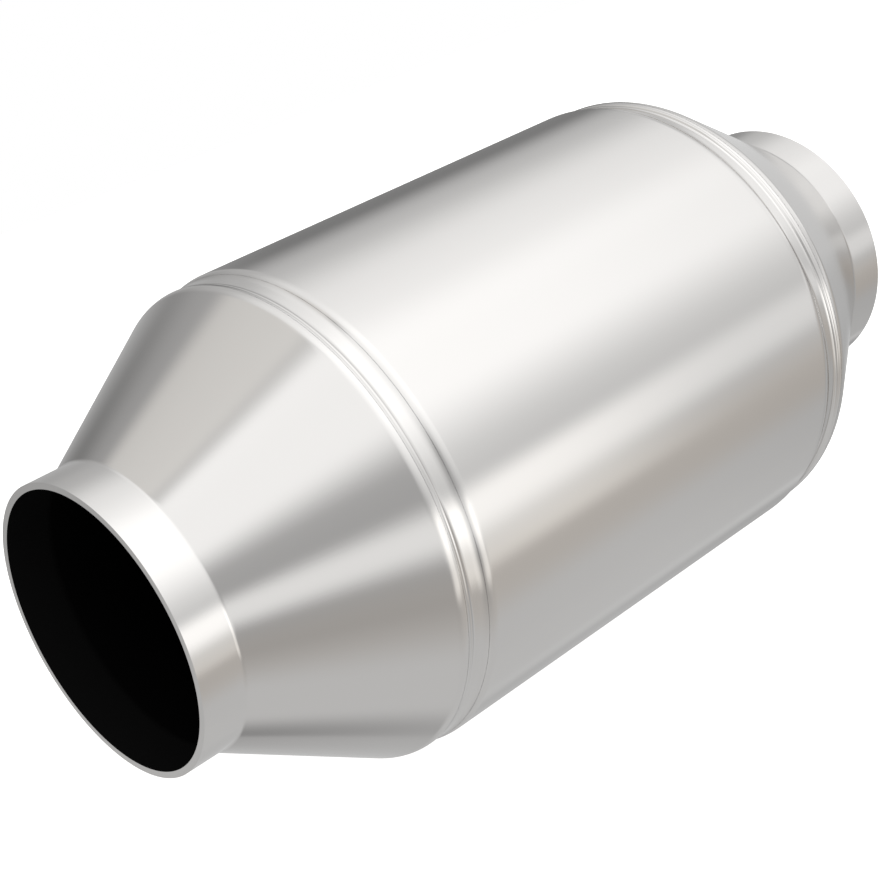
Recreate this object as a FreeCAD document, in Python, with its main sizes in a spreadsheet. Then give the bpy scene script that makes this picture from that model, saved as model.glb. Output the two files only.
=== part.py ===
import FreeCAD, Part
import math
import os
import Sketcher

# A round ceramic catalytic converter with a push-on neck at each end.
# The gas flows along +X. The origin is the middle of the inlet mouth, and +Z is up.
# Every piece is a body of revolution about X, apart from the channels in the bricks.

# Driving dimensions, in millimetres
SIZES = {
    # Neck that slips over a pipe of 63.5 outside, with half a millimetre to spare
    "neck_bore": 64.0,
    "neck_length": 10.5,
    "neck_bend": 8.0,
    # Cone drawn from sheet, its length measured to the corner of its shoulder
    "cone_wall": 1.5,
    "cone_length": 37.7,
    "shoulder_bend": 3.0,
    # Skirt of the cone, a little below the shell's surface, with a narrow land between bends
    "skirt_land": 0.05,
    "skirt_inset": 0.75,
    "skirt_bend": 1.0,
    # Shell, and the shallow groove rolled round it at each seam: a short falling side
    # that the seam lies on, a floor that climbs gently, and a steeper rising side
    "shell_wall": 1.5,
    "groove_depth": 1.4,
    "groove_fall": 1.4,
    "seam_place": 0.7,
    "groove_floor": 2.95,
    "floor_climb": 0.45,
    "groove_rise": 1.8,
    "groove_bend": 1.7,
    "knee_bend": 5.0,
    "rise_bend": 3.0,
    # Ceramic bricks, and the mat that fills the space between them and the shell
    "brick_diameter": 101.6,
    "brick_length": 50.8,
    "brick_gap": 6.0,
    "brick_skin": 1.2,
    "channel_pitch": 6.35,
    "channel_wall": 0.83,
    "mat_thickness": 4.85,
    # Knitted wire rings that close the ends of the mats
    "seal_cover": 5.0,
    "seal_overhang": 1.72,
    "seal_clearance": 0.22,
    "seal_edge": 0.8,
    "spacer_cover": 3.0,
    "spacer_rib": 3.0,
}

# What follows from them
DERIVED = {
    # Radii of the surfaces
    "neck_radius": "neck_bore / 2 + cone_wall",
    "brick_radius": "brick_diameter / 2",
    "shell_bore_radius": "brick_radius + mat_thickness",
    "shell_radius": "shell_bore_radius + shell_wall",
    "skirt_radius": "shell_radius - skirt_inset",
    "groove_radius": "shell_radius - groove_depth",
    "knee_radius": "groove_radius + floor_climb",
    # How much each sloping side rises, less than nothing where it falls
    "cone_height": "skirt_radius - neck_radius",
    "fall_height": "skirt_inset - groove_depth",
    "rise_height": "groove_depth - floor_climb",
    "seam_radius": "skirt_radius + fall_height * seam_place / groove_fall",
    # Half the turn at a bend, as a tangent
    "cone_half_turn": "(sqrt(cone_length^2 + cone_height^2) - cone_length) / cone_height",
    "fall_half_turn": "(groove_fall - sqrt(groove_fall^2 + fall_height^2)) / fall_height",
    "rise_half_turn": "(sqrt(groove_rise^2 + rise_height^2) - groove_rise) / rise_height",
    # Places along the cone, from its mouth
    "shoulder_x": "neck_length + cone_length",
    "shoulder_end_x": "shoulder_x + (shoulder_bend + cone_wall) * cone_half_turn",
    "skirt_end_x": "shoulder_end_x + skirt_land + (skirt_bend + cone_wall) * fall_half_turn",
    "seam_x": "skirt_end_x + seam_place",
    # Places along the shell, from its seam
    "floor_start": "groove_fall - seam_place",
    "floor_end": "floor_start + groove_floor",
    "rise_end": "floor_end + groove_rise",
    "bore_start": "rise_end + (rise_bend + shell_wall) * rise_half_turn",
    "brick_start": "bore_start + seal_clearance + seal_overhang",
    "shell_length": "2 * (brick_start + brick_length) + brick_gap",
    # Places in the whole converter, from the inlet's mouth
    "overall_length": "2 * seam_x + shell_length",
    "front_brick_x": "seam_x + brick_start",
    "front_brick_end_x": "front_brick_x + brick_length",
    "rear_brick_x": "front_brick_end_x + brick_gap",
    "rear_brick_end_x": "rear_brick_x + brick_length",
}

doc = FreeCAD.newDocument("catalytic_converter")
sheet = doc.addObject("Spreadsheet::Sheet", "Sizes")
entries = {name: str(value) for name, value in SIZES.items()}
entries.update({name: "=" + expression for name, expression in DERIVED.items()})
for row, name in enumerate(entries, start=1):
    sheet.set("A%d" % row, name)
    sheet.setAlias("B%d" % row, name)
for row, content in enumerate(entries.values(), start=1):
    sheet.set("B%d" % row, content)
doc.recompute()


def plus(first, second):
    """A sum written as an expression."""
    return "(%s + %s)" % (first, second)


def minus(first, second):
    """A difference written as an expression."""
    return "(%s - %s)" % (first, second)


def size(expression):
    """The value of an expression in the sheet's words, in millimetres."""
    return float(sheet.evalExpression(expression.replace("Sizes.", "")))


def new_body(label, start_x="0", turned=False):
    """An empty body at its place along the axis, turned end for end if asked."""
    body = doc.addObject("PartDesign::Body", label)
    body.Label = label
    turn = FreeCAD.Rotation(FreeCAD.Vector(0, 0, 1), 180 if turned else 0)
    body.Placement = FreeCAD.Placement(FreeCAD.Vector(size(start_x), 0, 0), turn)
    body.setExpression("Placement.Base.x", start_x)
    return body


def new_sketch(body, name, plane_role):
    """A sketch on one of the body's own origin planes."""
    sketch = body.newObject("Sketcher::SketchObject", body.Label + "_" + name)
    plane = [f for f in body.Origin.OriginFeatures if f.Role == plane_role][0]
    sketch.AttachmentSupport = (plane, [""])
    sketch.MapMode = "FlatFace"
    return sketch


def hold(sketch, *constraint, to):
    """A constraint whose value follows an expression."""
    index = sketch.addConstraint(Sketcher.Constraint(*constraint, size(to)))
    sketch.setExpression("Constraints[%d]" % index, to)


def revolve_outline(body, corners):
    """A closed outline of straight lines, turned once round the X axis."""
    sketch = new_sketch(body, "outline", "XY_Plane")
    points = [FreeCAD.Vector(size(x), size(r), 0) for x, r in corners]
    count = len(points)
    for i in range(count):
        sketch.addGeometry(Part.LineSegment(points[i], points[(i + 1) % count]), False)
    for i in range(count):
        sketch.addConstraint(Sketcher.Constraint("Coincident", i, 2, (i + 1) % count, 1))
    for i, (x, r) in enumerate(corners):
        hold(sketch, "DistanceX", -1, 1, i, 1, to=x)
        hold(sketch, "DistanceY", -1, 1, i, 1, to=r)
    turned = body.newObject("PartDesign::Revolution", body.Label + "_turned")
    turned.Profile = sketch
    turned.ReferenceAxis = (sketch, ["H_Axis"])
    turned.Angle = 360
    doc.recompute()
    return turned


def round_corners(body, base, name, corners, radius):
    """Rounds the circular edges that the given corners of the outline made."""
    places = [(size(x), size(r)) for x, r in corners]
    edges = []
    for i, edge in enumerate(base.Shape.Edges, start=1):
        if isinstance(edge.Curve, Part.Circle):
            made = (edge.Curve.Center.x, edge.Curve.Radius)
            if any(math.dist(made, place) < 1e-4 for place in places):
                edges.append("Edge%d" % i)
    rounded = body.newObject("PartDesign::Fillet", body.Label + "_" + name)
    rounded.Base = (base, edges)
    rounded.Radius = size(radius)
    rounded.setExpression("Radius", radius)
    doc.recompute()
    return rounded


# Sides of the sheet-metal sections, each by its run along the axis and its height
FLAT = ("1", "0")
CONE = ("Sizes.cone_length", "Sizes.cone_height")
FALL = ("Sizes.groove_fall", "Sizes.fall_height")
FLOOR = ("Sizes.groove_floor", "Sizes.floor_climb")
RISE = ("Sizes.groove_rise", "Sizes.rise_height")


def inner_face(outside, sides, wall):
    """The inner corners of a sheet whose outer corners and the sides after them are given.

    A corner between two sides moves square to both. An open end is cut square to the axis.
    """
    inside = []
    for i, (x, r) in enumerate(outside):
        before = sides[max(i - 1, 0)]
        after = sides[min(i, len(sides) - 1)]
        if i in (0, len(sides)):
            cut = "%s * sqrt(%s^2 + %s^2) / %s" % (wall, *after, after[0])
            inside.append((x, minus(r, cut)))
            continue
        cosines = ["(%s / sqrt(%s^2 + %s^2))" % (run, run, up) for run, up in (before, after)]
        sines = ["(%s / sqrt(%s^2 + %s^2))" % (up, run, up) for run, up in (before, after)]
        spread = "(1 + %s * %s + %s * %s)" % (*cosines, *sines)
        along = "%s * (%s + %s) / %s" % (wall, *sines, spread)
        down = "%s * (%s + %s) / %s" % (wall, *cosines, spread)
        inside.append((plus(x, along), minus(r, down)))
    return inside


def make_cone(label, start_x="0", turned=False):
    """Neck, cone and skirt in one piece of sheet. The skirt ends at the butt weld."""
    body = new_body(label, start_x, turned)
    wall = "Sizes.cone_wall"
    outside = [
        ("0", "Sizes.neck_radius"),
        ("Sizes.neck_length", "Sizes.neck_radius"),
        ("Sizes.shoulder_x", "Sizes.skirt_radius"),
        ("Sizes.skirt_end_x", "Sizes.skirt_radius"),
        ("Sizes.seam_x", "Sizes.seam_radius"),
    ]
    inside = inner_face(outside, [FLAT, CONE, FLAT, FALL], wall)
    feature = revolve_outline(body, outside + inside[::-1])
    bends = [
        ("neck_outside", outside[1], "Sizes.neck_bend"),
        ("neck_inside", inside[1], plus("Sizes.neck_bend", wall)),
        ("shoulder_outside", outside[2], plus("Sizes.shoulder_bend", wall)),
        ("shoulder_inside", inside[2], "Sizes.shoulder_bend"),
        ("skirt_outside", outside[3], plus("Sizes.skirt_bend", wall)),
        ("skirt_inside", inside[3], "Sizes.skirt_bend"),
    ]
    for name, corner, radius in bends:
        feature = round_corners(body, feature, name, [corner], radius)
    return body


def make_shell():
    """The outer tube. A rolled groove at each seam keeps the seal and brick in place."""
    body = new_body("shell", "Sizes.seam_x")
    wall = "Sizes.shell_wall"
    outside = [
        ("0", "Sizes.seam_radius"),
        ("Sizes.floor_start", "Sizes.groove_radius"),
        ("Sizes.floor_end", "Sizes.knee_radius"),
        ("Sizes.rise_end", "Sizes.shell_radius"),
    ]
    inside = inner_face(outside, [FALL, FLOOR, RISE, FLAT], wall)
    far_outside = [(minus("Sizes.shell_length", x), r) for x, r in outside]
    far_inside = [(minus("Sizes.shell_length", x), r) for x, r in inside]
    outline = outside + far_outside[::-1] + far_inside + inside[::-1]
    feature = revolve_outline(body, outline)
    bends = [
        ("floor_outside", outside, far_outside, 1, "Sizes.groove_bend"),
        ("floor_inside", inside, far_inside, 1, "Sizes.groove_bend"),
        ("knee_outside", outside, far_outside, 2, "Sizes.knee_bend"),
        ("knee_inside", inside, far_inside, 2, plus("Sizes.knee_bend", wall)),
        ("rise_outside", outside, far_outside, 3, plus("Sizes.rise_bend", wall)),
        ("rise_inside", inside, far_inside, 3, "Sizes.rise_bend"),
    ]
    for name, near, far, i, radius in bends:
        feature = round_corners(body, feature, name, [near[i], far[i]], radius)
    return body


def make_brick(label, start_x):
    """A ceramic honeycomb: square channels run right through, inside a closed skin."""
    body = new_body(label, start_x)
    sketch = new_sketch(body, "section", "YZ_Plane")
    radius = "Sizes.brick_radius"
    middle = FreeCAD.Vector(0, 0, 0)
    sketch.addGeometry(Part.Circle(middle, FreeCAD.Vector(0, 0, 1), size(radius)), False)
    sketch.addConstraint(Sketcher.Constraint("Coincident", 0, 3, -1, 1))
    hold(sketch, "Radius", 0, to=radius)
    pitch = size("Sizes.channel_pitch")
    half = (pitch - size("Sizes.channel_wall")) / 2
    reach = size(radius) - size("Sizes.brick_skin")
    across = math.ceil(reach / pitch)
    channel_sides = []
    for row in range(-across, across + 1):
        for column in range(-across, across + 1):
            y = column * pitch
            z = row * pitch
            if math.hypot(abs(y) + half, abs(z) + half) > reach:
                continue
            turns = [(-half, -half), (half, -half), (half, half), (-half, half)]
            corners = [FreeCAD.Vector(y + dy, z + dz, 0) for dy, dz in turns]
            for i in range(4):
                channel_sides.append(Part.LineSegment(corners[i], corners[(i + 1) % 4]))
    sketch.addGeometry(channel_sides, False)
    pad = body.newObject("PartDesign::Pad", label + "_length")
    pad.Profile = sketch
    pad.Length = size("Sizes.brick_length")
    pad.setExpression("Length", "Sizes.brick_length")
    doc.recompute()
    return body


def ring_outline(length):
    """The section of a plain ring that fills the space between a brick and the shell."""
    return [
        ("0", "Sizes.brick_radius"),
        ("0", "Sizes.shell_bore_radius"),
        (length, "Sizes.shell_bore_radius"),
        (length, "Sizes.brick_radius"),
    ]


def make_mat(label, start_x):
    """Ceramic fibre mat wrapped round a brick and squeezed against the shell."""
    body = new_body(label, start_x)
    length = "(Sizes.brick_length - Sizes.seal_cover - Sizes.spacer_cover)"
    revolve_outline(body, ring_outline(length))
    return body


def make_seal(label, start_x, turned=False):
    """Knitted wire ring that shields the end of a mat from the gas and rests at the groove."""
    body = new_body(label, start_x, turned)
    square_end = ring_outline("(Sizes.seal_cover + Sizes.seal_overhang)")[2:]
    edge = "Sizes.seal_edge"
    bevelled_end = [
        (edge, "Sizes.brick_radius"),
        ("0", plus("Sizes.brick_radius", edge)),
        ("0", minus("Sizes.shell_bore_radius", edge)),
        (edge, "Sizes.shell_bore_radius"),
    ]
    revolve_outline(body, bevelled_end + square_end)
    return body


def make_spacer():
    """Knitted wire ring of T section: its rib keeps the bricks apart."""
    body = new_body("brick_spacer", minus("Sizes.front_brick_end_x", "Sizes.spacer_cover"))
    rib_radius = minus("Sizes.brick_radius", "Sizes.spacer_rib")
    rib_end = "(Sizes.spacer_cover + Sizes.brick_gap)"
    outline = ring_outline("(2 * Sizes.spacer_cover + Sizes.brick_gap)")
    rib = [
        (rib_end, "Sizes.brick_radius"),
        (rib_end, rib_radius),
        ("Sizes.spacer_cover", rib_radius),
        ("Sizes.spacer_cover", "Sizes.brick_radius"),
    ]
    revolve_outline(body, outline + rib)
    return body


front_mat_x = plus("Sizes.front_brick_x", "Sizes.seal_cover")
rear_mat_x = plus("Sizes.rear_brick_x", "Sizes.spacer_cover")
inlet_seal_x = minus("Sizes.front_brick_x", "Sizes.seal_overhang")
outlet_seal_x = plus("Sizes.rear_brick_end_x", "Sizes.seal_overhang")
pieces = [
    make_shell(),
    make_cone("inlet_cone"),
    make_cone("outlet_cone", "Sizes.overall_length", turned=True),
    make_brick("front_brick", "Sizes.front_brick_x"),
    make_brick("rear_brick", "Sizes.rear_brick_x"),
    make_mat("front_mat", front_mat_x),
    make_mat("rear_mat", rear_mat_x),
    make_seal("inlet_seal", inlet_seal_x),
    make_seal("outlet_seal", outlet_seal_x, turned=True),
    make_spacer(),
]
doc.recompute()

# Nothing is written unless the whole document is sound
for thing in doc.Objects:
    if "Invalid" in thing.State or "Error" in thing.State:
        raise RuntimeError("%s failed: %s" % (thing.Label, thing.State))
for piece in pieces:
    if piece.Shape.isNull() or not piece.Shape.isValid() or len(piece.Shape.Solids) != 1:
        raise RuntimeError("%s isn't one sound solid" % piece.Label)

os.makedirs("parts", exist_ok=True)
for piece in pieces:
    piece.Shape.exportStep("parts/%s.step" % piece.Label)
    box = piece.Shape.BoundBox
    print("%-13s x %7.3f to %7.3f" % (piece.Label, box.XMin, box.XMax))
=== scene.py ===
import math
import bpy
import bmesh
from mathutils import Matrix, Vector


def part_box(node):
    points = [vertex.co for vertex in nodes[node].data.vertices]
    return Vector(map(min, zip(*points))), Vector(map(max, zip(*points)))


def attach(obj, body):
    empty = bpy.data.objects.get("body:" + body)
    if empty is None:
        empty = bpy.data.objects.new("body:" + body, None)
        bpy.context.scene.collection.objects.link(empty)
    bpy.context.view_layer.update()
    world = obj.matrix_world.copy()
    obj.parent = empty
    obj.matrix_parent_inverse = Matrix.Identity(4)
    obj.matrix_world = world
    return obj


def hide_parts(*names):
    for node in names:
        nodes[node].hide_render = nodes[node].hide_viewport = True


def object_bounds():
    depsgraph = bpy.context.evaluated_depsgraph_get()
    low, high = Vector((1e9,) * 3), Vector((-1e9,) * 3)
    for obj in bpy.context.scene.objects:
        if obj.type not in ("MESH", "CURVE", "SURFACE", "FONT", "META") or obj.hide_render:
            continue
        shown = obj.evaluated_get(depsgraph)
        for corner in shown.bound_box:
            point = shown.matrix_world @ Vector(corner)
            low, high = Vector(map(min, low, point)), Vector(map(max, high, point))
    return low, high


# A round catalytic converter with a stainless steel casing, lying on its side.
# It is dressed in the order in which it is put together, from the bricks outwards.
# The gas flows along +X, and the middle of the inlet mouth is the origin. Lengths are in metres.
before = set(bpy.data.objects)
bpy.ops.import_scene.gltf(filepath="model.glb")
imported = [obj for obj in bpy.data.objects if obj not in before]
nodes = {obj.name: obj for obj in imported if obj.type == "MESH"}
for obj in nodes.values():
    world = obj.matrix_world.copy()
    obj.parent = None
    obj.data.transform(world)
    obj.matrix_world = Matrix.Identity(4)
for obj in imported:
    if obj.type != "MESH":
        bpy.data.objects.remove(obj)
cad_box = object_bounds()


# Front and rear bricks
# Each is a cylinder of extruded cordierite with about 62 square channels to the square
# centimetre, dipped in a washcoat that leaves it dull brown.
CELL_PITCH = 0.00127
CELL_WALL = 0.000165
BRICK_SKIN = 0.0012
RIM_POINTS = 320
COAT_DARK = (0.055, 0.045, 0.036, 1)
COAT_PALE = (0.13, 0.105, 0.08, 1)


def choose(chosen_faces, bm):
    """Selects exactly these faces in edit mode."""
    for face in bm.faces:
        face.select_set(False)
    for face in chosen_faces:
        face.select_set(True)
    bm.select_flush_mode()


def make_brick(name):
    """Perforates a sheet with square cells, then gives it the brick's length."""
    low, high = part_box(name)
    radius = (high.y - low.y) / 2
    cells_across = 2 * math.ceil(radius / CELL_PITCH)
    bpy.ops.object.select_all(action="DESELECT")
    bpy.ops.mesh.primitive_grid_add(
        x_subdivisions=cells_across,
        y_subdivisions=cells_across,
        size=cells_across * CELL_PITCH,
        rotation=(0, math.pi / 2, 0),
        location=(low.x, 0, 0),
    )
    brick = bpy.context.object
    brick.name = name + "_cells"
    bpy.ops.object.transform_apply(location=True, rotation=True, scale=True)

    # Only whole cells stay, and a round skin is bridged to their stepped edge
    bpy.ops.object.mode_set(mode="EDIT")
    bm = bmesh.from_edit_mesh(brick.data)
    reach = radius - BRICK_SKIN
    outside = [f for f in bm.faces if max(math.hypot(v.co.y, v.co.z) for v in f.verts) > reach]
    choose(outside, bm)
    bmesh.update_edit_mesh(brick.data)
    bpy.ops.mesh.delete(type="FACE")
    bpy.ops.mesh.select_all(action="SELECT")
    bpy.ops.mesh.inset(thickness=CELL_WALL / 2, depth=0, use_individual=True)
    bpy.ops.mesh.delete(type="FACE")
    bpy.ops.mesh.select_all(action="DESELECT")
    bpy.ops.mesh.primitive_circle_add(
        vertices=RIM_POINTS, radius=radius, rotation=(0, math.pi / 2, 0), location=(low.x, 0, 0)
    )
    bm = bmesh.from_edit_mesh(brick.data)
    for edge in bm.edges:
        stepped = edge.is_boundary and edge.calc_length() > CELL_PITCH - CELL_WALL / 2
        edge.select_set(edge.is_wire or stepped)
    bmesh.update_edit_mesh(brick.data)
    bpy.ops.mesh.fill(use_beauty=False)

    # The sheet is drawn out to the brick's length, which makes the cells' walls
    bpy.ops.mesh.select_all(action="SELECT")
    bpy.ops.mesh.normals_make_consistent(inside=False)
    bpy.ops.mesh.extrude_region_move(TRANSFORM_OT_translate={"value": (high.x - low.x, 0, 0)})
    bpy.ops.mesh.select_all(action="SELECT")
    bpy.ops.mesh.normals_make_consistent(inside=False)
    bpy.ops.object.mode_set(mode="OBJECT")
    return brick


def make_washcoat():
    """Dull brown washcoat, a little uneven in tone and grain."""
    material = bpy.data.materials.new("washcoat")
    material.use_nodes = True
    tree = material.node_tree
    shader = tree.nodes["Principled BSDF"]
    shader.inputs["Roughness"].default_value = 0.95
    shader.inputs["Specular IOR Level"].default_value = 0.2
    place = tree.nodes.new("ShaderNodeTexCoord")
    patches = tree.nodes.new("ShaderNodeTexNoise")
    patches.inputs["Scale"].default_value = 220
    patches.inputs["Detail"].default_value = 6
    tones = tree.nodes.new("ShaderNodeValToRGB")
    tones.color_ramp.elements[0].color = COAT_DARK
    tones.color_ramp.elements[1].color = COAT_PALE
    grain = tree.nodes.new("ShaderNodeBump")
    grain.inputs["Strength"].default_value = 0.4
    grain.inputs["Distance"].default_value = 0.00005
    tree.links.new(place.outputs["Object"], patches.inputs["Vector"])
    tree.links.new(patches.outputs["Fac"], tones.inputs["Fac"])
    tree.links.new(tones.outputs["Color"], shader.inputs["Base Color"])
    tree.links.new(patches.outputs["Fac"], grain.inputs["Height"])
    tree.links.new(grain.outputs["Normal"], shader.inputs["Normal"])
    return material


washcoat = make_washcoat()
for brick_name in ("front_brick", "rear_brick"):
    brick = make_brick(brick_name)
    brick.data.materials.append(washcoat)
    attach(brick, "root")
    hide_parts(brick_name)


# Mats
# Needled ceramic fibre felt, cream with a few darker shots, wrapped once round each brick
# and squeezed into the shell. It holds the brick by friction and keeps its heat in.
FELT_DARK = (0.48, 0.43, 0.34, 1)
FELT_PALE = (0.8, 0.76, 0.68, 1)


def make_felt():
    """Cream felt with a nap of fine fibres."""
    material = bpy.data.materials.new("felt")
    material.use_nodes = True
    tree = material.node_tree
    shader = tree.nodes["Principled BSDF"]
    shader.inputs["Roughness"].default_value = 0.9
    shader.inputs["Sheen Weight"].default_value = 0.3
    place = tree.nodes.new("ShaderNodeTexCoord")
    fibres = tree.nodes.new("ShaderNodeTexNoise")
    fibres.inputs["Scale"].default_value = 900
    fibres.inputs["Detail"].default_value = 8
    fibres.inputs["Distortion"].default_value = 1.5
    tones = tree.nodes.new("ShaderNodeValToRGB")
    tones.color_ramp.elements[0].color = FELT_DARK
    tones.color_ramp.elements[1].color = FELT_PALE
    nap = tree.nodes.new("ShaderNodeBump")
    nap.inputs["Strength"].default_value = 0.6
    nap.inputs["Distance"].default_value = 0.0003
    tree.links.new(place.outputs["Object"], fibres.inputs["Vector"])
    tree.links.new(fibres.outputs["Fac"], tones.inputs["Fac"])
    tree.links.new(tones.outputs["Color"], shader.inputs["Base Color"])
    tree.links.new(fibres.outputs["Fac"], nap.inputs["Height"])
    tree.links.new(nap.outputs["Normal"], shader.inputs["Normal"])
    return material


felt = make_felt()
for mat_name in ("front_mat", "rear_mat"):
    nodes[mat_name].material_slots[0].material = felt


# Seals and spacer
# Rings of knitted stainless wire, pressed to shape. They keep the gas off the ends of the
# mats and the bricks off each other.
WIRE_COLOR = (0.42, 0.4, 0.37, 1)
# The gaps between the loops are painted near black, as painted shade in their depth
GAP_SHADE_COLOR = (0.05, 0.05, 0.05, 1)
GAP_START = 0.25


def make_knit():
    """Loops of dull wire, with painted shade in the gaps between them."""
    material = bpy.data.materials.new("knitted_wire")
    material.use_nodes = True
    tree = material.node_tree
    shader = tree.nodes["Principled BSDF"]
    shader.inputs["Metallic"].default_value = 1
    shader.inputs["Roughness"].default_value = 0.45
    place = tree.nodes.new("ShaderNodeTexCoord")
    loops = tree.nodes.new("ShaderNodeTexVoronoi")
    loops.inputs["Scale"].default_value = 700
    loops.feature = "DISTANCE_TO_EDGE"
    tones = tree.nodes.new("ShaderNodeValToRGB")
    # Away from the wires the colour turns to the painted shade of the gaps
    tones.color_ramp.elements[0].color = WIRE_COLOR
    tones.color_ramp.elements[1].color = GAP_SHADE_COLOR
    tones.color_ramp.elements[1].position = GAP_START
    wires = tree.nodes.new("ShaderNodeBump")
    wires.invert = True
    wires.inputs["Strength"].default_value = 0.9
    wires.inputs["Distance"].default_value = 0.0004
    tree.links.new(place.outputs["Object"], loops.inputs["Vector"])
    tree.links.new(loops.outputs["Distance"], tones.inputs["Fac"])
    tree.links.new(tones.outputs["Color"], shader.inputs["Base Color"])
    tree.links.new(loops.outputs["Distance"], wires.inputs["Height"])
    tree.links.new(wires.outputs["Normal"], shader.inputs["Normal"])
    return material


knitted_wire = make_knit()
for ring_name in ("inlet_seal", "outlet_seal", "brick_spacer"):
    nodes[ring_name].material_slots[0].material = knitted_wire


# Shell and cones
# Stainless sheet of 1.5 mm, the shell rolled and the cones drawn, with soft bends where the
# press turned it. The outside has a satin finish, and the inside is painted near black as shade.
STEEL_COLOR = (0.647, 0.636, 0.624, 1)
STEEL_ROUGHNESS = 0.13
# The inside of the casing is painted this near black, as painted shade in place of real shade
INSIDE_SHADE_COLOR = (0.006, 0.006, 0.006, 1)


def make_stainless():
    """Satin steel outside, and near black painted shade inside."""
    material = bpy.data.materials.new("stainless")
    material.use_nodes = True
    tree = material.node_tree
    shader = tree.nodes["Principled BSDF"]
    shader.inputs["Metallic"].default_value = 1
    shader.inputs["Base Color"].default_value = STEEL_COLOR
    shader.inputs["Roughness"].default_value = STEEL_ROUGHNESS
    place = tree.nodes.new("ShaderNodeTexCoord")
    facing = tree.nodes.new("ShaderNodeNewGeometry")

    # A face looks inwards, and gets the painted shade, where its normal points back to the axis
    across = tree.nodes.new("ShaderNodeVectorMath")
    across.operation = "MULTIPLY"
    across.inputs[1].default_value = (0, 1, 1)
    outwards = tree.nodes.new("ShaderNodeVectorMath")
    outwards.operation = "NORMALIZE"
    turned_out = tree.nodes.new("ShaderNodeVectorMath")
    turned_out.operation = "DOT_PRODUCT"
    inside = tree.nodes.new("ShaderNodeMath")
    inside.operation = "LESS_THAN"
    inside.inputs[1].default_value = -0.5
    tree.links.new(place.outputs["Object"], across.inputs[0])
    tree.links.new(across.outputs["Vector"], outwards.inputs[0])
    tree.links.new(outwards.outputs["Vector"], turned_out.inputs[0])
    tree.links.new(facing.outputs["Normal"], turned_out.inputs[1])
    tree.links.new(turned_out.outputs["Value"], inside.inputs[0])

    # The satin finish is a grain too fine to see, which softens what the steel mirrors
    grain = tree.nodes.new("ShaderNodeTexNoise")
    grain.inputs["Scale"].default_value = 1600
    grain.inputs["Detail"].default_value = 4
    fine = tree.nodes.new("ShaderNodeBump")
    fine.inputs["Strength"].default_value = 0.25
    fine.inputs["Distance"].default_value = 0.00001
    tree.links.new(place.outputs["Object"], grain.inputs["Vector"])
    tree.links.new(grain.outputs["Fac"], fine.inputs["Height"])
    tree.links.new(fine.outputs["Normal"], shader.inputs["Normal"])

    # Inward faces get a near black diffuse, which is painted shade for the dark inside of the
    # casing
    inside_shade = tree.nodes.new("ShaderNodeBsdfDiffuse")
    inside_shade.inputs["Color"].default_value = INSIDE_SHADE_COLOR
    either = tree.nodes.new("ShaderNodeMixShader")
    surface = tree.nodes["Material Output"]
    tree.links.new(inside.outputs["Value"], either.inputs["Fac"])
    tree.links.new(shader.outputs["BSDF"], either.inputs[1])
    tree.links.new(inside_shade.outputs["BSDF"], either.inputs[2])
    tree.links.new(either.outputs["Shader"], surface.inputs["Surface"])
    return material


# Lengths along the axis and radii outside, from the mouth to the plain shell. A bend is the
# radius in the hollow of the fold, and the other face of the sheet has the wall more.
SHEET = 0.0015
NECK_LENGTH = 0.0105
NECK_RADIUS = 0.0335
NECK_BEND = 0.002
CONE_LENGTH = 0.0377
SHOULDER_BEND = 0.003
SKIRT_LENGTH = 0.00186168
SKIRT_RADIUS = 0.0564
SKIRT_BEND = 0.001
SEAM_PLACE = 0.0007
GROOVE_FALL = 0.0014
GROOVE_RADIUS = 0.05575
GROOVE_BEND = 0.0017
GROOVE_FLOOR = 0.00295
KNEE_RADIUS = 0.0562
KNEE_BEND = 0.005
GROOVE_RISE = 0.0018
RISE_BEND = 0.003
SHELL_RADIUS = 0.05715
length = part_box("outlet_cone")[1].x
shoulder_x = NECK_LENGTH + CONE_LENGTH
skirt_end_x = shoulder_x + SKIRT_LENGTH
seam_x = skirt_end_x + SEAM_PLACE
seam_radius = SKIRT_RADIUS - (SKIRT_RADIUS - GROOVE_RADIUS) * SEAM_PLACE / GROOVE_FALL
floor_start_x = skirt_end_x + GROOVE_FALL
floor_end_x = floor_start_x + GROOVE_FLOOR
rise_end_x = floor_end_x + GROOVE_RISE

# Each corner has its place along the axis, its radius and its bend
cone_corners = [
    (0, NECK_RADIUS, 0),
    (NECK_LENGTH, NECK_RADIUS, NECK_BEND),
    (shoulder_x, SKIRT_RADIUS, SHOULDER_BEND),
    (skirt_end_x, SKIRT_RADIUS, SKIRT_BEND),
    (seam_x, seam_radius, 0),
]
groove_corners = [
    (seam_x, seam_radius, 0),
    (floor_start_x, GROOVE_RADIUS, GROOVE_BEND),
    (floor_end_x, KNEE_RADIUS, KNEE_BEND),
    (rise_end_x, SHELL_RADIUS, RISE_BEND),
]


def turned_round(corners):
    """The same corners at the outlet's end."""
    return [(length - x, r, bend) for x, r, bend in reversed(corners)]


def sheet_section(outside):
    """Corners and bends of the sheet's outer side, then those of its inner side back again."""
    corners = [Vector((x, 0, r)) for x, r, bend in outside]
    outer = []
    inner = []
    for place, (x, r, bend) in enumerate(outside):
        here = corners[place]
        if place in (0, len(outside) - 1):
            edge = corners[1] - here if place == 0 else here - corners[-2]
            outer.append((here, 0))
            inner.append((here - Vector((0, 0, SHEET * edge.length / edge.x)), 0))
            continue
        coming = (here - corners[place - 1]).normalized()
        going = (corners[place + 1] - here).normalized()
        inwards = Vector((coming.z + going.z, 0, -coming.x - going.x))
        inwards *= SHEET / (1 + coming.dot(going))
        bulges = coming.x * going.z < coming.z * going.x
        outer.append((here, bend + SHEET if bulges else bend))
        inner.append((here + inwards, bend if bulges else bend + SHEET))
    return outer + inner[::-1]


# The most degrees from point to point on an arc, and how far from the arc's ends a row of
# points holds the flat sheet, so that it is shaded flat
ARC_STEP = 1.5
FLAT_ROW = 0.00008


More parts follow.
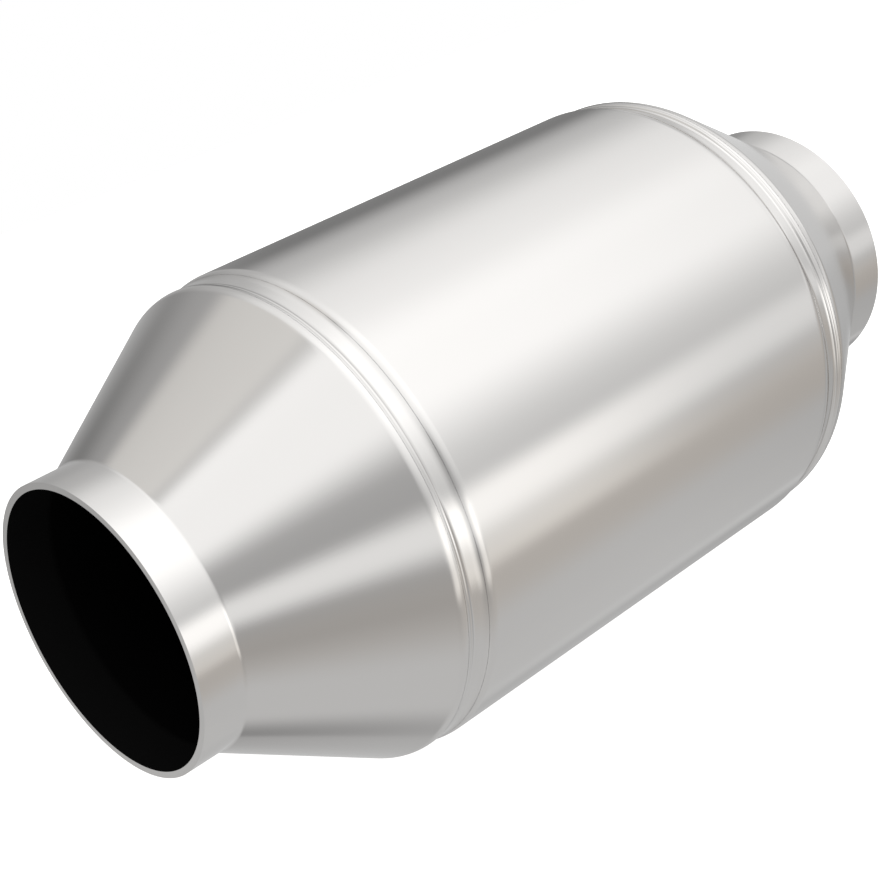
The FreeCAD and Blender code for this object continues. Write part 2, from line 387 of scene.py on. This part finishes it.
def rounded(section):
    """Points round the section with each bend as an arc, held flat just before and after it."""
    points = []
    for place, (corner, radius) in enumerate(section):
        if radius == 0:
            points.append(corner)
            continue
        back = (section[place - 1][0] - corner).normalized()
        ahead = (section[(place + 1) % len(section)][0] - corner).normalized()
        half = back.angle(ahead) / 2
        reach = radius / math.tan(half)
        middle = corner + (back + ahead).normalized() * radius / math.sin(half)
        steps = math.ceil(math.degrees(math.pi - 2 * half) / ARC_STEP)
        first = (corner + back * reach - middle).normalized()
        last = (corner + ahead * reach - middle).normalized()
        points.append(corner + back * (reach + FLAT_ROW))
        points += [middle + radius * first.slerp(last, step / steps) for step in range(steps + 1)]
        points.append(corner + ahead * (reach + FLAT_ROW))
    return points


# The plane that shrinks to the first point, the steps round a ring, the gap below which two
# points are one, and the fold in degrees past which an edge is sharp
FIRST_PLANE = 0.001
RING_STEPS = 256
MERGE_GAP = 0.000002
SHARP_ANGLE = 30


def press_sheet(name, outside):
    """Draws the sheet's section with one point pulled along, then turns it round the axis."""
    points = rounded(sheet_section(outside))
    bpy.ops.object.select_all(action="DESELECT")
    bpy.ops.mesh.primitive_plane_add(size=FIRST_PLANE, location=points[0])
    sheet = bpy.context.object
    sheet.name = name
    bpy.ops.object.transform_apply(location=True, rotation=True, scale=True)
    bpy.ops.object.mode_set(mode="EDIT")
    bpy.ops.mesh.select_all(action="SELECT")
    bpy.ops.mesh.merge(type="CENTER")
    for before, after in zip(points, points[1:] + points[:1]):
        bpy.ops.mesh.extrude_region_move(TRANSFORM_OT_translate={"value": after - before})
    bpy.ops.mesh.select_all(action="SELECT")
    bpy.ops.mesh.remove_doubles(threshold=MERGE_GAP)
    bpy.ops.mesh.spin(steps=RING_STEPS, angle=2 * math.pi, center=(0, 0, 0), axis=(1, 0, 0))
    bpy.ops.mesh.select_all(action="SELECT")
    bpy.ops.mesh.remove_doubles(threshold=MERGE_GAP)
    bpy.ops.mesh.normals_make_consistent(inside=False)
    bpy.ops.object.mode_set(mode="OBJECT")
    bpy.ops.object.shade_smooth_by_angle(angle=math.radians(SHARP_ANGLE))
    return sheet


stainless = make_stainless()
for casing_name, outside in (
    ("shell", groove_corners + turned_round(groove_corners)),
    ("inlet_cone", cone_corners),
    ("outlet_cone", turned_round(cone_corners)),
):
    sheet = press_sheet(casing_name + "_sheet", outside)
    sheet.data.materials.append(stainless)
    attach(sheet, "root")
    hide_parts(casing_name)


# Weld beads
# The seams are butt welded all the way round by TIG and brushed down, which leaves a low
# bright bead on each, more than half sunk in the sheet.
BEAD_RADIUS = 0.0007
BEAD_DEPTH = 0.00043
BEAD_SHIFT = 0.0003
BEAD_STEPS = 32
for bead_name, bead_x in (
    ("inlet_bead", seam_x - BEAD_SHIFT),
    ("outlet_bead", length - seam_x + BEAD_SHIFT),
):
    bpy.ops.object.select_all(action="DESELECT")
    bpy.ops.mesh.primitive_torus_add(
        major_segments=RING_STEPS,
        minor_segments=BEAD_STEPS,
        major_radius=seam_radius - BEAD_DEPTH,
        minor_radius=BEAD_RADIUS,
        rotation=(0, math.pi / 2, 0),
        location=(bead_x, 0, 0),
    )
    bead = bpy.context.object
    bead.name = bead_name
    bpy.ops.object.transform_apply(location=True, rotation=True, scale=True)
    bpy.ops.object.shade_smooth()
    bead.data.materials.append(stainless)
    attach(bead, "root")


# White board
# A sheet of white card under the converter, wide enough to fill the picture. It is lit up
# for the camera alone, and the steel doesn't mirror it.
BOARD_LENGTH = 1.6
BOARD_WIDTH = 0.5
CARD_COLOR = (0.6, 0.59, 0.575, 1)
CARD_GLOW = 0.9
low, high = cad_box
bpy.ops.object.select_all(action="DESELECT")
bpy.ops.mesh.primitive_plane_add(size=1, location=((low.x + high.x) / 2, 0, low.z))
board = bpy.context.object
board.name = "board"
board.scale = (BOARD_LENGTH, BOARD_WIDTH, 1)
bpy.ops.object.transform_apply(location=True, rotation=True, scale=True)
card = bpy.data.materials.new("card")
card.use_nodes = True
tree = card.node_tree
shader = tree.nodes["Principled BSDF"]
shader.inputs["Base Color"].default_value = CARD_COLOR
shader.inputs["Roughness"].default_value = 0.9
shader.inputs["Specular IOR Level"].default_value = 0.1
shader.inputs["Emission Color"].default_value = (1, 1, 1, 1)
seen = tree.nodes.new("ShaderNodeLightPath")
lift = tree.nodes.new("ShaderNodeMath")
lift.operation = "MULTIPLY"
lift.inputs[1].default_value = CARD_GLOW
tree.links.new(seen.outputs["Is Camera Ray"], lift.inputs[0])
tree.links.new(lift.outputs["Value"], shader.inputs["Emission Strength"])
board.data.materials.append(card)
board.visible_glossy = False


# Studio light
# A dim studio with long soft boxes in line with the converter, over it and beside it, a
# brown card low in front and a black cloth behind. The camera sees white past them all.
WHITE = (1, 1, 1)
WARM = (1.04, 1, 0.94)
BROWN = (0.55, 1, 1.5)
ENDLESS = 540

# Each starts at one angle round the X axis and ends at another, measured in degrees from
# straight up towards +Y, each with the softness of that edge. ENDLESS lies past every angle.
# Then come the tint and pairs of a place along X and the light there.
SOFT_BOXES = [
    ("studio", -ENDLESS, 10, ENDLESS, 10, WHITE,
     (-0.1, 0.46), (0.3, 0.61), (0.62, 0.68)),
    ("floor", -ENDLESS, 10, -118, 22, WHITE,
     (-0.1, 0.26), (0.3, 0.09), (0.62, 0.01), (0.8, -0.14)),
    ("shade in front", -ENDLESS, 10, -169, 11, WHITE,
     (-0.1, -0.46), (0.3, -0.03)),
    ("shade behind", 146, 5, 172, 6, WHITE,
     (0.45, -0.03), (0.56, -0.15), (0.8, -0.3), (0.9, -0.16)),
    ("brown card", -128, 11, -99, 11, BROWN,
     (-0.1, -0.04), (0.62, -0.07)),
    ("front fill", -107, 5, -71, 5, WARM,
     (-0.25, 0.05), (0.08, 0.55), (0.3, 0.55), (0.42, 0.26), (0.61, 0.36), (0.7, 0.02)),
    ("front strip", -89, 7, -70, 7, WHITE,
     (-0.38, 0.61), (0.44, 0.62), (0.62, 0.37), (0.8, 0.28)),
    ("overhead outer", -64, 19, 22, 19, WHITE,
     (-0.32, 0.1), (0.02, 0.42), (0.44, 0.46), (0.62, 0.28), (0.8, 0.25)),
    ("overhead middle", -41, 16, 11, 16, WHITE,
     (-0.32, 0), (0.02, 0.6), (0.62, 0.53), (0.8, 0.34)),
    ("overhead by the inlet", -40, 12, 15, 6, WHITE,
     (-0.32, 0.78), (0.02, 0)),
    ("back box", 12, 19, 56, 19, WHITE,
     (-0.1, 0.1), (0.05, 0.6), (0.62, 0.52), (0.8, 0.42)),
    ("back box by the inlet", 19, 6, 65, 7, WARM,
     (-0.1, 0.34), (0.05, 0)),
    ("card before the mouth", 108, 8, 160, 8, WHITE,
     (-0.34, 0.2), (-0.2, 0)),
    ("black cloth", 84, 13, 132, 13, WHITE,
     (0.1, -0.26), (0.45, -0.14), (0.56, -0.44), (0.72, -0.44), (0.78, 0.04)),
]
world = bpy.data.worlds.new("studio")
bpy.context.scene.world = world
world.use_nodes = True
tree = world.node_tree
background = tree.nodes["Background"]
direction = tree.nodes.new("ShaderNodeTexCoord")
parts = tree.nodes.new("ShaderNodeSeparateXYZ")
angle = tree.nodes.new("ShaderNodeMath")
angle.operation = "ARCTAN2"
tree.links.new(direction.outputs["Generated"], parts.inputs["Vector"])
tree.links.new(parts.outputs["Y"], angle.inputs[0])
tree.links.new(parts.outputs["Z"], angle.inputs[1])


def ease(socket, start, end, from_light, to_light):
    """A smooth change while a direction goes from one place to the other."""
    change = tree.nodes.new("ShaderNodeMapRange")
    change.interpolation_type = "SMOOTHSTEP"
    change.inputs["From Min"].default_value = start
    change.inputs["From Max"].default_value = end
    change.inputs["To Min"].default_value = from_light
    change.inputs["To Max"].default_value = to_light
    tree.links.new(socket, change.inputs["Value"])
    return change.outputs["Result"]


def combine(operation, first, second):
    """The sum or the product of two lights."""
    node = tree.nodes.new("ShaderNodeVectorMath")
    node.operation = operation
    tree.links.new(first, node.inputs[0])
    if isinstance(second, tuple):
        node.inputs[1].default_value = second
    else:
        tree.links.new(second, node.inputs[1])
    return node.outputs["Vector"]


light = None
for name, start, start_edge, end, end_edge, tint, *levels in SOFT_BOXES:
    begin, begun = math.radians(start - start_edge), math.radians(start + start_edge)
    fade, gone = math.radians(end - end_edge), math.radians(end + end_edge)
    near_side = ease(angle.outputs["Value"], begin, begun, 0, 1)
    far_side = ease(angle.outputs["Value"], fade, gone, 1, 0)
    (place, before), (next_place, after) = levels[:2]
    strength = ease(parts.outputs["X"], place, next_place, before, after)
    for (place, before), (next_place, after) in zip(levels[1:], levels[2:]):
        step = ease(parts.outputs["X"], place, next_place, 0, after - before)
        strength = combine("ADD", strength, step)
    box = combine("MULTIPLY", combine("MULTIPLY", near_side, far_side), strength)
    box = combine("MULTIPLY", box, tint)
    light = combine("ADD", light, box) if light else box
view_only = tree.nodes.new("ShaderNodeLightPath")
white = tree.nodes.new("ShaderNodeMix")
white.data_type = "RGBA"
white.inputs["B"].default_value = (1, 1, 1, 1)
tree.links.new(view_only.outputs["Is Camera Ray"], white.inputs["Factor"])
tree.links.new(light, white.inputs["A"])
tree.links.new(white.outputs["Result"], background.inputs["Color"])


# Camera
# It stands in front of the inlet on the -Y side and looks down on the converter, so that
# the mouth and the whole side are in view.
CAMERA_PLACE = (-0.15379, -0.25190, 0.24687)
CAMERA_TILT = 55.217
CAMERA_TURN = -44.93
bpy.ops.object.camera_add(
    location=CAMERA_PLACE,
    rotation=(math.radians(CAMERA_TILT), 0, math.radians(CAMERA_TURN)),
)
camera = bpy.context.object
camera.data.lens = 76.03
camera.data.sensor_width = 36
camera.data.clip_start = 0.01
bpy.context.scene.camera = camera
bpy.context.scene.view_settings.view_transform = "Standard"
